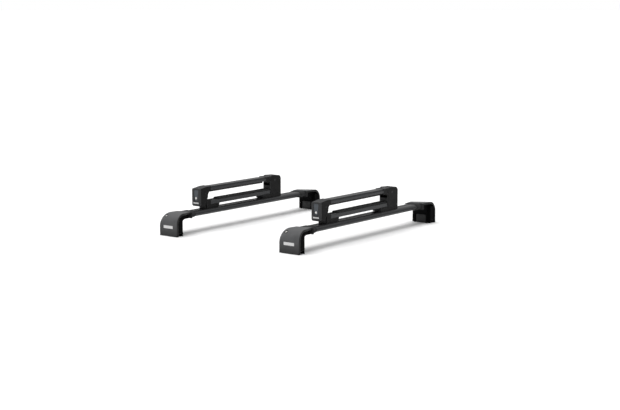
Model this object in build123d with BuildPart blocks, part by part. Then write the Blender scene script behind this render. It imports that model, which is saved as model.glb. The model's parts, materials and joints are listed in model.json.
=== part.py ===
from build123d import *
import math
import os

# Roof ski rack: two crossbars on four rail feet, with one hinged ski carrier lying along each bar.
# Millimetres. +X is the front of the vehicle, +Z is up and -Y is the lock side of the carriers.
# The origin is the centre of the footprint, at the height of the feet's lowest faces.

# Whole rack
BAR_SPACING = 750.0
SPAN = 1150.0
BARS = {"front": BAR_SPACING / 2, "rear": -BAR_SPACING / 2}
SIDES = {"near": False, "far": True}

# Reach of a cut past what it cuts, a height above everything, and the play of fitted and sliding pieces
CUT = 1.0
ABOVE = 240.0
FIT_GAP = 0.2
RUN_GAP = 0.05
BORE_GAP = 0.4
SEAT_GAP = 0.5

# Crossbar: an aerofoil extrusion with a T-slot along its crown
BAR_TOP = 107.5
BAR_BOTTOM = 79.5
BAR_HALF_CHORD = 42.0
BAR_CROWN = (-14.0, 22.0)
BAR_BELLY = (-18.0, 20.0)
BAR_TAIL = (90.0, 93.0)
BAR_NOSE = 93.0
BAR_WALL = 2.5
SLOT_MOUTH = 11.0
SLOT_WIDTH = 20.0
SLOT_DEPTH = 12.0
SLOT_LIP = 3.0
STRIP_DROP = 0.1
STRIP_FOOT = 1.8
STRIP_FOOT_WIDTH = 17.0
STRIP_CLEAR = 14.0

# Foot. Its side profile is given by the distance inboard of its outer face and the height. The
# shoulder is a quarter ellipse from the knee up to the crest, fuller at the front than at the rear.
FOOT_WIDTH = 118.0
FRONT_SHOULDER = {"knee": 60.0, "run": 44.0, "top": 112.5}
REAR_SHOULDER = {"knee": 45.0, "run": 80.0, "top": 107.5}
TAPER_START = 42.0
COVER_END = 110.0
TAIL_HALF = 48.0
COVER_WALL = 3.0
RIM_ROUND = 6.0
COVER_LIP = 10.0
COVER_FLOOR = 1.0
BODY_WIDTH = FOOT_WIDTH - 2 * COVER_WALL - 1.0
LEG_WIDE = 45.0
LEG_WIDE_TOP = 88.0
LEG_THICK = 56.0
LEG_NARROW_HALF = 38.0
LEG_KNEE = 52.0
LEG_SWEEP = ((63.0, 70.0), (84.0, 79.5))
LEG_ROUND = 4.0
COLLAR_START = 110.5
COLLAR_END = 152.0
COLLAR_WALL = 2.5
COLLAR_RIM = 3.0
COLLAR_RIM_WALL = 1.5
BAR_POCKET = 114.0

# Rail channel under the foot, its rubber lining and the moving jaw
CHANNEL_START = 14.0
CHANNEL_END = 44.5
CHANNEL_HEIGHT = 17.0
PAD_THICK = 3.0
PAD_LIP = 2.0
PAD_INSET = 2.0
PAD_FLOOR = 2.0
JAW_WIDTH = 60.0
JAW_FACE = 45.2
JAW_THICK = 5.5
JAW_TOP = 42.0
JAW_TOE = 4.4
JAW_TOE_THICK = 3.5
JAW_ROUND = 6.0
JAW_FLOOR = 0.5
JAW_GUIDE_GAP = 2.0
JAW_GUIDE_END = 76.0
JAW_GUIDE_TOP = 45.0
BOSS_START = 30.0
BOSS_RADIUS = 7.0
BOSS_GAP = 0.6
SCREW_HEIGHT = 34.0
SCREW_RADIUS = 3.0
SCREW_HEAD_RADIUS = 6.2
SCREW_HEAD_START = 6.0
SCREW_HEAD_END = 12.5
SCREW_HEAD_GAP = 1.0
SCREW_END = 53.5
SCREW_CHAMFER = 0.6
SOCKET_RADIUS = 2.9
SOCKET_DEPTH = 3.5

# Foot lock, set square to the shoulder near its rear edge
LOCK_INBOARD = 27.0
LOCK_OFFSET = -36.0
LOCK_RADIUS = 6.5
LOCK_LENGTH = 14.0
TONGUE_LENGTH = 16.0
TONGUE_WIDTH = 6.0
TONGUE_THICK = 2.5
LOCK_RECESS = 0.8
LOCK_KEYWAY = 8.0
KEYWAY_WIDTH = 1.6
KEYWAY_DEPTH = 3.0
POCKET_SIDES = (-12.0, 24.0)
POCKET_END = 52.0
POCKET_FLOOR = 74.0
KEEPER_SIDES = (12.5, 25.0)
KEEPER_DEPTHS = (29.4, 32.1)
KEEPER_HEIGHTS = (73.0, 88.0)

# Ski carrier. Distances along it are measured inboard from the outer face of its lock cap, and the
# points of its side outlines are pairs of that distance and the height.
CAP_FACE_Y = -374.0
CARRIER_LENGTH = 642.0
CARRIER_HALF = 26.5
RAIL_START = 60.0
RAIL_END = 570.0
RAIL_HALF = 23.0
RAIL_BOTTOM = 126.0
RAIL_TOP = 146.0
RAIL_ROUND = 2.0
RAIL_WALL = 2.5
CHAMBER_HEIGHT = 9.5
NUT_CHANNEL = 18.0
SIDE_CHAMBER = 9.0
SIDE_CHAMBER_PLACE = 16.0
ARM_START = 58.0
ARM_END = 545.0
ARM_HALF = 25.0
ARM_BOTTOM = 198.0
ARM_TOP = 217.0
ARM_ROUND = 2.0
ARM_BEVEL = (4.5, 8.0)
ARM_CHAMBER = ((-21.5, 205.5), (21.5, 205.5), (21.5, 208.0), (18.5, 214.5), (-18.5, 214.5), (-21.5, 208.0))
PAD_HALF = 19.0
PAD_NECK = 3.0
BASE_PAD_PLACES = (152.0, 548.0)
BASE_PAD_TOP = 153.0
BASE_PAD_ROUND = 2.0
ARM_PAD_PLACES = (88.0, 497.0)
ARM_PAD_BOTTOM = 188.0
ARM_PAD_ROUND = 3.0
BOLT_PLACES = (112.0, 528.0)
BOLT_RADIUS = 4.0
BOLT_BORE_GAP = 0.3
BOLT_TOP = 137.3
BOLT_HEAD = (19.0, 14.0, 7.4)
BOLT_HEAD_ROUND = 2.0
NUT_RADIUS = 7.5
NUT_THICK = 6.5
GROOVE_MOUTH = 26.0
GROOVE_WIDTH = 32.0
GROOVE_LIP = 1.5
GROOVE_DEPTH = 5.5

# Lock cap at the near end of the arm
CAP_BOTTOM = 124.0
CAP_TOP = 214.0
CAP_START = 9.0
CAP_END = 84.0
CAP_FRONT_WALL = 3.5
CAP_INSIDE_HALF = 22.0
CAP_SIDE = ((9.0, 206.0), (9.0, 124.0), (35.0, 124.0), (42.0, 137.0), (53.0, 151.0), (62.0, 168.0))
CAP_THROAT = ((62.0, 168.0), (68.0, 188.0), (84.0, 195.0))
CAP_CROWN = ((84.0, 195.0), (84.0, 218.8), (56.0, 218.8), (20.0, 214.0))
CAP_BROW = ((20.0, 214.0), (12.0, 211.5), (9.0, 206.0))
CAP_ROUND = 3.0
CAP_ROUND_HEIGHTS = (205.0, 220.0)
CAP_INSIDE = ((12.5, 120.0), (90.0, 120.0), (90.0, 190.0), (54.0, 190.0), (54.0, 210.0), (12.5, 210.0))
BEZEL_DEPTH = 8.0
BEZEL_CORNER = 9.0
BEZEL_ROUND = 2.0
PANEL_HEIGHT = 139.5
PANEL_SIZE = (37.0, 8.5)
PANEL_CORNER = 1.5
PANEL_DEPTH = 0.8
SPIGOT_INSET = 3.0
SPIGOT_CORNER = 7.0
BUTTON_TOP = 205.0
BUTTON_BOTTOM = 151.0
BUTTON_HALF_TOP = 15.0
BUTTON_HALF_BOTTOM = 9.0
BUTTON_FRONT = 1.5
BUTTON_BACK = 12.5
BUTTON_CORNER = 5.0
BUTTON_ROUND = 1.5
BUTTON_GAP = 0.5
FLANGE_GROW = 2.0
FLANGE_GAP = 0.8
KEY_HEIGHT = 164.0
KEY_RADIUS = 5.5
KEY_START = 1.0
KEY_END = 18.0
KEYWAY_LENGTH = 6.5
CAM_SIZE = (5.0, 11.0, 2.5)
CAM_OFFSET = 2.5
STEM_HEIGHT = 152.0
STEM_RADIUS = 3.0
STEM_END = 31.0
SPRING_HEIGHT = 180.0
SPRING_END = 29.0
SPRING_RADII = (4.5, 3.3)
SPRING_SEAT = ((29.0, 32.0), (172.0, 211.0))

# Latch
HOOK_PIVOT = (44.0, 186.0)
HOOK_PIN_RADIUS = 3.0
HOOK_EYE = 6.5
HOOK_HALF = 5.0
HOOK_SIDE = (
    (38.5, 184.0),
    (32.2, 158.0),
    (32.2, 135.5),
    (23.0, 135.5),
    (22.0, 131.0),
    (37.5, 130.0),
    (38.5, 156.0),
    (49.0, 182.0),
)
STRIKER_PLACE = (26.0, 140.0)
STRIKER_RADIUS = 3.0
EAR_INSIDE = 9.0
EAR_OUTSIDE = 14.0
EAR_SIDE = ((50.0, 126.0), (50.0, 149.0), (24.0, 146.0), (20.5, 142.0), (20.5, 136.0), (28.0, 130.0))
EAR_GAP_PLACES = (10.0, 53.0)
EAR_GAP_FLOOR = 120.0
PIN_CHAMFER = 0.4

# Near riser: a narrow nose inside the lock cap, a block round the rail's end and a foot along the bar
RISER_TOP = 150.0
RISER_NOSE = 46.0
RISER_NOSE_HALF = 21.3
RISER_BLOCK = (56.0, 84.0)
RISER_BLOCK_HALF = 25.5
RISER_FOOT = (80.0, 144.0, 150.0)
RISER_FOOT_HALF = 24.0
RISER_ROUND = 3.0
RISER_SOCKET_END = 86.0

# Hinge
HINGE_PLACE = (590.0, 197.0)
HINGE_PIN_RADIUS = 5.0
BARREL_RADIUS = 24.0
KNUCKLE_HALF = 18.8
FORK_HALF = 19.5
FORK_START = 556.0
FORK_TOP = 223.0
FORK_FAR_TOP = 218.0
FORK_NEAR_ROUND = 12.0
FORK_FAR_ROUND = 20.0
FORK_SIDE_ROUND = 2.5
FORK_FOOT = 500.0
FORK_TOE = 494.0
FORK_SOCKET = 60.0
BARREL_GAP = (1.5, 4.0)
FORK_GAP_START = 550.0
KNUCKLE_SIDE = ((522.0, 194.0), (530.0, 190.5), (550.0, 190.5), (550.0, 218.8), (522.0, 218.8))
KNUCKLE_SOCKET = 46.0
NECK_START = 549.0
NECK_HEIGHTS = (192.0, 218.8)
KNUCKLE_ROUND = 3.0
CROSS_BORE = 40.0


def foot_y(inboard):
    """Y of a place on a near foot, from its distance inboard of the outer face."""
    return inboard - SPAN / 2


def arm_y(along):
    """Y of a place on a ski carrier, from its distance along the carrier."""
    return CAP_FACE_Y + along


def side_points(outline):
    """Points on a carrier's side plane, from pairs of distance along the carrier and height."""
    return [(arm_y(place), height) for place, height in outline]


def side_plane(x):
    """Plane seen from the front of the vehicle: its local x is Y and its local y is Z."""
    return Plane.YZ.offset(x)


def cross_plane(x, y):
    """Plane across the carrier or bar: its local x is X, its local y is Z and it faces -Y."""
    return Plane(origin=(x, y, 0), x_dir=(1, 0, 0), z_dir=(0, -1, 0))


def save(piece, name):
    """Label a finished piece and write its file."""
    piece.part.label = name
    export_step(piece.part, f"parts/{name}.step")


def bar_profile(grow=0.0):
    """Aerofoil section about the bar's centre line, nose to +X, moved outwards by an offset."""
    with BuildSketch(Plane.XY, mode=Mode.PRIVATE) as profile:
        with BuildLine():
            crown = Line((BAR_CROWN[0], BAR_TOP), (BAR_CROWN[1], BAR_TOP))
            belly = Line((BAR_BELLY[0], BAR_BOTTOM), (BAR_BELLY[1], BAR_BOTTOM))
            tail = Line((-BAR_HALF_CHORD, BAR_TAIL[0]), (-BAR_HALF_CHORD, BAR_TAIL[1]))
            TangentArc(crown @ 1, (BAR_HALF_CHORD, BAR_NOSE), tangent=(1, 0))
            TangentArc(belly @ 1, (BAR_HALF_CHORD, BAR_NOSE), tangent=(1, 0))
            TangentArc(crown @ 0, tail @ 1, tangent=(-1, 0))
            TangentArc(belly @ 0, tail @ 0, tangent=(-1, 0))
        make_face()
        if grow:
            offset(amount=grow, kind=Kind.INTERSECTION, mode=Mode.REPLACE)
    return profile.sketch


def groove_profile(mouth_z, up):
    """T-shaped groove for a rubber pad, cut into a face at mouth_z, upwards or downwards."""
    direction = 1 if up else -1
    with BuildSketch(Plane.XY, mode=Mode.PRIVATE) as profile:
        with Locations((0, mouth_z + direction * GROOVE_DEPTH / 2)):
            Rectangle(GROOVE_MOUTH, GROOVE_DEPTH)
        with Locations((0, mouth_z + direction * (GROOVE_DEPTH + GROOVE_LIP) / 2)):
            Rectangle(GROOVE_WIDTH, GROOVE_DEPTH - GROOVE_LIP)
    return profile.sketch


def arm_profile(grow=0.0):
    """Outline of the upper arm's extrusion: flat below, with its upper corners cut back."""
    with BuildSketch(Plane.XY, mode=Mode.PRIVATE) as profile:
        with BuildLine():
            Polyline(
                (-ARM_HALF, ARM_BOTTOM),
                (ARM_HALF, ARM_BOTTOM),
                (ARM_HALF, ARM_TOP - ARM_BEVEL[1]),
                (ARM_HALF - ARM_BEVEL[0], ARM_TOP),
                (ARM_BEVEL[0] - ARM_HALF, ARM_TOP),
                (-ARM_HALF, ARM_TOP - ARM_BEVEL[1]),
                close=True,
            )
        make_face()
        fillet(profile.vertices(), radius=ARM_ROUND)
        if grow:
            offset(amount=grow, kind=Kind.INTERSECTION, mode=Mode.REPLACE)
    return profile.sketch


def rail_profile(grow=0.0):
    """Outline of the carrier's base extrusion."""
    with BuildSketch(Plane.XY, mode=Mode.PRIVATE) as profile:
        with Locations((0, (RAIL_BOTTOM + RAIL_TOP) / 2)):
            Rectangle(2 * RAIL_HALF, RAIL_TOP - RAIL_BOTTOM)
        fillet(profile.vertices(), radius=RAIL_ROUND)
        if grow:
            offset(amount=grow, kind=Kind.INTERSECTION, mode=Mode.REPLACE)
    return profile.sketch


def button_profile(grow=0.0):
    """Rounded keystone outline of the push button, wide end up."""
    with BuildSketch(Plane.XY, mode=Mode.PRIVATE) as profile:
        with BuildLine():
            Polyline(
                (-BUTTON_HALF_BOTTOM, BUTTON_BOTTOM),
                (BUTTON_HALF_BOTTOM, BUTTON_BOTTOM),
                (BUTTON_HALF_TOP, BUTTON_TOP),
                (-BUTTON_HALF_TOP, BUTTON_TOP),
                close=True,
            )
        make_face()
        fillet(profile.vertices(), radius=BUTTON_CORNER)
        if grow:
            offset(amount=grow, mode=Mode.REPLACE)
    return profile.sketch


def shoulder_block(x, inset, floor, end, half_width, tail_half):
    """Near foot's volume behind its outer surface, which is moved inwards by inset.

    Seen from above it tapers from half_width to tail_half at the cover's inboard end.
    """
    with BuildPart() as block:
        for shape, edge in ((REAR_SHOULDER, -FOOT_WIDTH / 2), (FRONT_SHOULDER, FOOT_WIDTH / 2)):
            with BuildSketch(side_plane(x + edge)):
                with BuildLine():
                    curve = EllipticalCenterArc(
                        (foot_y(shape["run"]), shape["knee"]),
                        shape["run"] - inset,
                        shape["top"] - shape["knee"] - inset,
                        start_angle=90,
                        arc_size=90,
                    )
                    Polyline(
                        curve @ 1,
                        (foot_y(inset), floor),
                        (foot_y(end), floor),
                        (foot_y(end), shape["top"] - inset),
                        curve @ 0,
                    )
                make_face()
        loft()
        with BuildSketch(Plane.XY):
            with BuildLine():
                bend = Spline(
                    (x - tail_half, foot_y(COVER_END)),
                    (x - half_width, foot_y(TAPER_START)),
                    tangents=[(0, -1), (0, -1)],
                )
                Polyline((x, 0), (x - tail_half, 0), bend @ 0)
                Polyline(bend @ 1, (x - half_width, foot_y(-CUT)), (x, foot_y(-CUT)))
                mirror(about=side_plane(x))
            make_face()
        extrude(amount=ABOVE, both=True, mode=Mode.INTERSECT)
    return block.part


def lock_plane(x, depth=0.0):
    """Plane square to the foot's shoulder at the lock, moved in along the lock's axis by depth."""
    share = 0.5 - LOCK_OFFSET / FOOT_WIDTH
    shape = {key: FRONT_SHOULDER[key] * (1 - share) + REAR_SHOULDER[key] * share for key in FRONT_SHOULDER}
    run = (shape["run"] - LOCK_INBOARD) / shape["run"]
    rise = shape["top"] - shape["knee"]
    height = shape["knee"] + rise * math.sqrt(1 - run * run)
    normal = Vector(0, -run / shape["run"], (height - shape["knee"]) / rise**2).normalized()
    surface = Vector(x + LOCK_OFFSET, foot_y(LOCK_INBOARD), height)
    return Plane(origin=surface - normal * depth, x_dir=(1, 0, 0), z_dir=normal)


def add_box(x, y, z, mode=Mode.ADD):
    """Add or cut a box between two X, two Y and two Z values."""
    with Locations((sum(x) / 2, sum(y) / 2, sum(z) / 2)):
        Box(x[1] - x[0], y[1] - y[0], z[1] - z[0], mode=mode)


def add_rod(x, y, radius, z, length, mode=Mode.ADD):
    """Add or cut a round rod along +Y from y, about the line at x and z."""
    with BuildSketch(cross_plane(x, y)) as disc:
        with Locations((0, z)):
            Circle(radius)
    extrude(disc.sketch, amount=-length, mode=mode)


def cross_bore(x, place, radius):
    """Cut a bore along X through both sides of a carrier piece."""
    with BuildSketch(side_plane(x)) as disc:
        with Locations((arm_y(place[0]), place[1])):
            Circle(radius + RUN_GAP)
    extrude(disc.sketch, amount=CROSS_BORE, both=True, mode=Mode.SUBTRACT)


def bolt_bore(x, place, height):
    """Cut a bore for a carrier bolt, from the bar's crown up by the height."""
    with BuildSketch(Plane.XY.offset(BAR_TOP - CUT)) as disc:
        with Locations((x, arm_y(place))):
            Circle(BOLT_RADIUS + BOLT_BORE_GAP)
    extrude(disc.sketch, amount=height + CUT, mode=Mode.SUBTRACT)


# Crossbar and the rubber strips in its slot


def make_crossbar(name, x):
    """Hollow aerofoil bar with a T-slot along its crown, ending inside the collars of the feet."""
    half_length = SPAN / 2 - BAR_POCKET - FIT_GAP
    with BuildPart() as crossbar:
        with BuildSketch(cross_plane(x, 0)):
            add(bar_profile())
            with Locations((0, BAR_TOP - SLOT_DEPTH / 2)):
                Rectangle(SLOT_MOUTH, SLOT_DEPTH, mode=Mode.SUBTRACT)
            with Locations((0, BAR_TOP - (SLOT_DEPTH + SLOT_LIP) / 2)):
                Rectangle(SLOT_WIDTH, SLOT_DEPTH - SLOT_LIP, mode=Mode.SUBTRACT)
        extrude(amount=half_length, both=True)
        with BuildSketch(cross_plane(x, 0)):
            add(bar_profile(-BAR_WALL))
            with Locations((0, BAR_TOP)):
                Rectangle(SLOT_WIDTH + 2 * BAR_WALL, 2 * (SLOT_DEPTH + BAR_WALL), mode=Mode.SUBTRACT)
            with Locations((0, BAR_BOTTOM)):
                Rectangle(BAR_WALL, BAR_TOP - BAR_BOTTOM, mode=Mode.SUBTRACT)
        extrude(amount=half_length, both=True, mode=Mode.SUBTRACT)
    save(crossbar, name)


def make_slot_strip(name, x):
    """Rubber strips that close the slot between the collars and the carrier's bolts."""
    collar = SPAN / 2 - COLLAR_END
    stem = SLOT_LIP + 2 * FIT_GAP
    stops = [-collar]
    for place in BOLT_PLACES:
        stops += [arm_y(place) - STRIP_CLEAR, arm_y(place) + STRIP_CLEAR]
    stops.append(collar)
    with BuildPart() as strip:
        for start, end in zip(stops[::2], stops[1::2]):
            with BuildSketch(cross_plane(x, end)):
                with Locations((0, BAR_TOP - STRIP_DROP - stem / 2)):
                    Rectangle(SLOT_MOUTH - 2 * FIT_GAP, stem)
                with Locations((0, BAR_TOP - SLOT_LIP - FIT_GAP - STRIP_FOOT / 2)):
                    Rectangle(STRIP_FOOT_WIDTH, STRIP_FOOT)
            extrude(amount=end - start)
    save(strip, name)


# Rail foot: near feet are modelled and far feet are their mirror images across the rack


def make_foot_body(name, x, far):
    """Cast body: collar round the bar, leg down to the rail, channel, jaw guide and lock pocket."""
    half = BODY_WIDTH / 2
    shoulder = shoulder_block(x, COVER_WALL + SEAT_GAP, 0, BAR_POCKET, half, half)
    with BuildPart() as body:
        with BuildSketch(side_plane(x)):
            with BuildLine():
                sole = Line((foot_y(0), 0), (foot_y(LEG_THICK), 0))
                inner = Line(sole @ 1, (foot_y(LEG_THICK), LEG_KNEE))
                sweep = ThreePointArc(inner @ 1, [(foot_y(place), height) for place, height in LEG_SWEEP])
                Polyline(
                    sweep @ 1,
                    (foot_y(BAR_POCKET), BAR_BOTTOM),
                    (foot_y(BAR_POCKET), ABOVE),
                    (foot_y(0), ABOVE),
                    sole @ 0,
                )
            make_face()
        extrude(amount=half, both=True)
        fillet(body.faces().filter_by(Axis.X).edges().filter_by(GeomType.CIRCLE), radius=LEG_ROUND)
        add(shoulder, mode=Mode.INTERSECT)
        # Full width only low down and near the outer face, so that the cover slides off outwards
        for edge in (-1, 1):
            middle = x + edge * (LEG_NARROW_HALF + half)
            beside = (middle - half, middle + half)
            end = foot_y(COLLAR_START)
            add_box(beside, (foot_y(LEG_WIDE), end), (-CUT, ABOVE), mode=Mode.SUBTRACT)
            add_box(beside, (foot_y(-CUT), end), (LEG_WIDE_TOP, ABOVE), mode=Mode.SUBTRACT)
        # Collar round the bar, with a thinner rim
        for wall, end in ((COLLAR_WALL, COLLAR_END - COLLAR_RIM), (COLLAR_RIM_WALL, COLLAR_END)):
            with BuildSketch(cross_plane(x, foot_y(end))):
                add(bar_profile(wall))
            extrude(amount=end - COLLAR_START)
        with BuildSketch(cross_plane(x, foot_y(COLLAR_END))):
            add(bar_profile(FIT_GAP))
        extrude(amount=COLLAR_END - BAR_POCKET, mode=Mode.SUBTRACT)
        # Channel for the roof rail, open below and at both sides
        add_box(
            (x - half - CUT, x + half + CUT),
            (foot_y(CHANNEL_START), foot_y(CHANNEL_END)),
            (-CUT, CHANNEL_HEIGHT),
            mode=Mode.SUBTRACT,
        )
        # Guide for the moving jaw
        add_box(
            (x - JAW_WIDTH / 2 - JAW_GUIDE_GAP, x + JAW_WIDTH / 2 + JAW_GUIDE_GAP),
            (foot_y(CHANNEL_END), foot_y(JAW_GUIDE_END)),
            (-CUT, JAW_GUIDE_TOP),
            mode=Mode.SUBTRACT,
        )
        # Bores for the jaw's boss, the screw's shank and its head
        for radius, start, end in (
            (BOSS_RADIUS + BOSS_GAP, BOSS_START - JAW_GUIDE_GAP, CHANNEL_END + CUT),
            (SCREW_RADIUS + BORE_GAP, 0, BOSS_START),
            (SCREW_HEAD_RADIUS + SCREW_HEAD_GAP, 0, SCREW_HEAD_END + SEAT_GAP),
        ):
            add_rod(x, foot_y(start), radius, SCREW_HEIGHT, end - start, mode=Mode.SUBTRACT)
        # Pocket behind the lock, open outwards, and the keeper that its tongue turns behind
        lock_x = x + LOCK_OFFSET
        add_box(
            (lock_x + POCKET_SIDES[0], lock_x + POCKET_SIDES[1]),
            (foot_y(-CUT), foot_y(POCKET_END)),
            (POCKET_FLOOR, ABOVE),
            mode=Mode.SUBTRACT,
        )
        add_box(
            (lock_x + KEEPER_SIDES[0], lock_x + KEEPER_SIDES[1]),
            (foot_y(KEEPER_DEPTHS[0]), foot_y(KEEPER_DEPTHS[1])),
            KEEPER_HEIGHTS,
        )
        if far:
            mirror(about=Plane.XZ, mode=Mode.REPLACE)
    save(body, name)


def make_foot_cover(name, x, far):
    """Moulded shell over the outer face and shoulder, with a lip along each side."""
    half = FOOT_WIDTH / 2
    outside = shoulder_block(x, 0, COVER_FLOOR, COVER_END, half, TAIL_HALF)
    inside = shoulder_block(x, COVER_WALL, -CUT, COVER_END + CUT, half - COVER_WALL, TAIL_HALF - COVER_WALL)
    between_lips = shoulder_block(x, COVER_LIP, -CUT, COVER_END + CUT, half + CUT, half + CUT)
    with BuildPart() as cover:
        add(outside)
        # Each flank is two faces, flat and then tapering, that meet at a vertical seam
        flanks = cover.faces().sort_by(Axis.X)
        rim = flanks[0].edges() + flanks[1].edges() + flanks[-2].edges() + flanks[-1].edges()
        rim = rim.filter_by_position(Axis.Y, foot_y(-CUT), foot_y(COVER_END - SEAT_GAP))
        rim = rim.filter_by_position(Axis.Z, COVER_FLOOR + CUT, ABOVE)
        seams = rim.filter_by(Axis.Z).filter_by_position(Axis.Y, foot_y(TAPER_START - CUT), foot_y(COVER_END))
        fillet([edge for edge in rim if edge not in seams], radius=RIM_ROUND)
        add(inside, mode=Mode.SUBTRACT)
        add(between_lips, mode=Mode.SUBTRACT)
        with BuildSketch(lock_plane(x, -CUT)):
            Circle(LOCK_RADIUS + RUN_GAP)
        extrude(amount=-LOCK_LENGTH, mode=Mode.SUBTRACT)
        if far:
            mirror(about=Plane.XZ, mode=Mode.REPLACE)
    save(cover, name)


def make_foot_lock(name, x, far):
    """Key barrel of the cover, with a tongue on its inner end."""
    with BuildPart() as lock:
        with BuildSketch(lock_plane(x, LOCK_RECESS)):
            Circle(LOCK_RADIUS)
        extrude(amount=-LOCK_LENGTH)
        with BuildSketch(lock_plane(x, LOCK_RECESS)):
            Rectangle(KEYWAY_WIDTH, LOCK_KEYWAY)
        extrude(amount=-KEYWAY_DEPTH, mode=Mode.SUBTRACT)
        with BuildSketch(lock_plane(x, LOCK_LENGTH + LOCK_RECESS)):
            with Locations(((TONGUE_LENGTH - LOCK_RADIUS) / 2, 0)):
                Rectangle(TONGUE_LENGTH + LOCK_RADIUS, TONGUE_WIDTH)
        extrude(amount=-TONGUE_THICK)
        if far:
            mirror(about=Plane.XZ, mode=Mode.REPLACE)
    save(lock, name)


def make_rail_jaw(name, x, far):
    """Steel jaw that closes on the rail: plate with a toe under the rail and a threaded boss."""
    with BuildPart() as jaw:
        add_box(
            (x - JAW_WIDTH / 2, x + JAW_WIDTH / 2),
            (foot_y(JAW_FACE), foot_y(JAW_FACE + JAW_THICK)),
            (JAW_FLOOR, JAW_TOP),
        )
        fillet(jaw.edges().filter_by(Axis.Y).group_by(Axis.Z)[-1], radius=JAW_ROUND)
        add_box(
            (x - JAW_WIDTH / 2, x + JAW_WIDTH / 2),
            (foot_y(JAW_FACE - JAW_TOE), foot_y(JAW_FACE)),
            (JAW_FLOOR, JAW_FLOOR + JAW_TOE_THICK),
        )
        add_rod(x, foot_y(BOSS_START), BOSS_RADIUS, SCREW_HEIGHT, JAW_FACE - BOSS_START)
        bore = SCREW_RADIUS + RUN_GAP
        add_rod(x, foot_y(BOSS_START - CUT), bore, SCREW_HEIGHT, BOSS_START, mode=Mode.SUBTRACT)
        if far:
            mirror(about=Plane.XZ, mode=Mode.REPLACE)
    save(jaw, name)


def make_clamp_screw(name, x, far):
    """Socket screw along Y that draws the jaw towards the outer wall of the channel."""
    head = SCREW_HEAD_END - SCREW_HEAD_START
    with BuildPart() as screw:
        add_rod(x, foot_y(SCREW_HEAD_START), SCREW_HEAD_RADIUS, SCREW_HEIGHT, head)
        chamfer(screw.edges().group_by(Axis.Y)[0], length=SCREW_CHAMFER)
        add_rod(x, foot_y(SCREW_HEAD_END), SCREW_RADIUS, SCREW_HEIGHT, SCREW_END - SCREW_HEAD_END)
        with BuildSketch(cross_plane(x, foot_y(SCREW_HEAD_START))):
            with Locations((0, SCREW_HEIGHT)):
                RegularPolygon(radius=SOCKET_RADIUS, side_count=6)
        extrude(amount=-SOCKET_DEPTH, mode=Mode.SUBTRACT)
        if far:
            mirror(about=Plane.XZ, mode=Mode.REPLACE)
    save(screw, name)


def make_rail_pads():
    """Rubber linings of the four channels: a bed above and a lip along the outer wall."""
    half = BODY_WIDTH / 2 - PAD_INSET
    bed = CHANNEL_HEIGHT - PAD_THICK
    with BuildPart() as pads:
        for x in BARS.values():
            add_box(
                (x - half, x + half),
                (foot_y(CHANNEL_START), foot_y(CHANNEL_END - SEAT_GAP)),
                (bed, CHANNEL_HEIGHT),
            )
            add_box(
                (x - half, x + half),
                (foot_y(CHANNEL_START), foot_y(CHANNEL_START + PAD_LIP)),
                (PAD_FLOOR, bed),
            )
        mirror(about=Plane.XZ)
    save(pads, "rail_pads")


# Ski carrier: fixed lower half


def make_base_rail(name, x):
    """Lower extrusion, with a groove for its pad above and a channel for the bolt nuts below."""
    chambers = RAIL_BOTTOM + RAIL_WALL + CHAMBER_HEIGHT / 2
    with BuildPart() as rail:
        with BuildSketch(cross_plane(x, arm_y(RAIL_END))):
            add(rail_profile())
            add(groove_profile(RAIL_TOP, up=False), mode=Mode.SUBTRACT)
            with Locations((0, chambers)):
                Rectangle(NUT_CHANNEL, CHAMBER_HEIGHT, mode=Mode.SUBTRACT)
            with Locations((-SIDE_CHAMBER_PLACE, chambers), (SIDE_CHAMBER_PLACE, chambers)):
                Rectangle(SIDE_CHAMBER, CHAMBER_HEIGHT, mode=Mode.SUBTRACT)
        extrude(amount=RAIL_END - RAIL_START)
        for place in BOLT_PLACES:
            bolt_bore(x, place, RAIL_BOTTOM + RAIL_WALL + CUT - BAR_TOP)
    save(rail, name)


def make_base_pad(name, x):
    """Lower rubber pad, held by a foot in the rail's groove."""
    start, end = BASE_PAD_PLACES
    with BuildPart() as pad:
        with BuildSketch(cross_plane(x, arm_y(end))):
            with Locations((0, (RAIL_TOP + BASE_PAD_TOP) / 2)):
                RectangleRounded(2 * PAD_HALF, BASE_PAD_TOP - RAIL_TOP, BASE_PAD_ROUND)
            with Locations((0, RAIL_TOP - CUT)):
                Rectangle(GROOVE_MOUTH - 2 * FIT_GAP, PAD_NECK)
            with Locations((0, RAIL_TOP - (GROOVE_DEPTH + GROOVE_LIP) / 2)):
                Rectangle(GROOVE_WIDTH - 2 * FIT_GAP, GROOVE_DEPTH - GROOVE_LIP - 2 * FIT_GAP)
        extrude(amount=end - start)
    save(pad, name)


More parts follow.
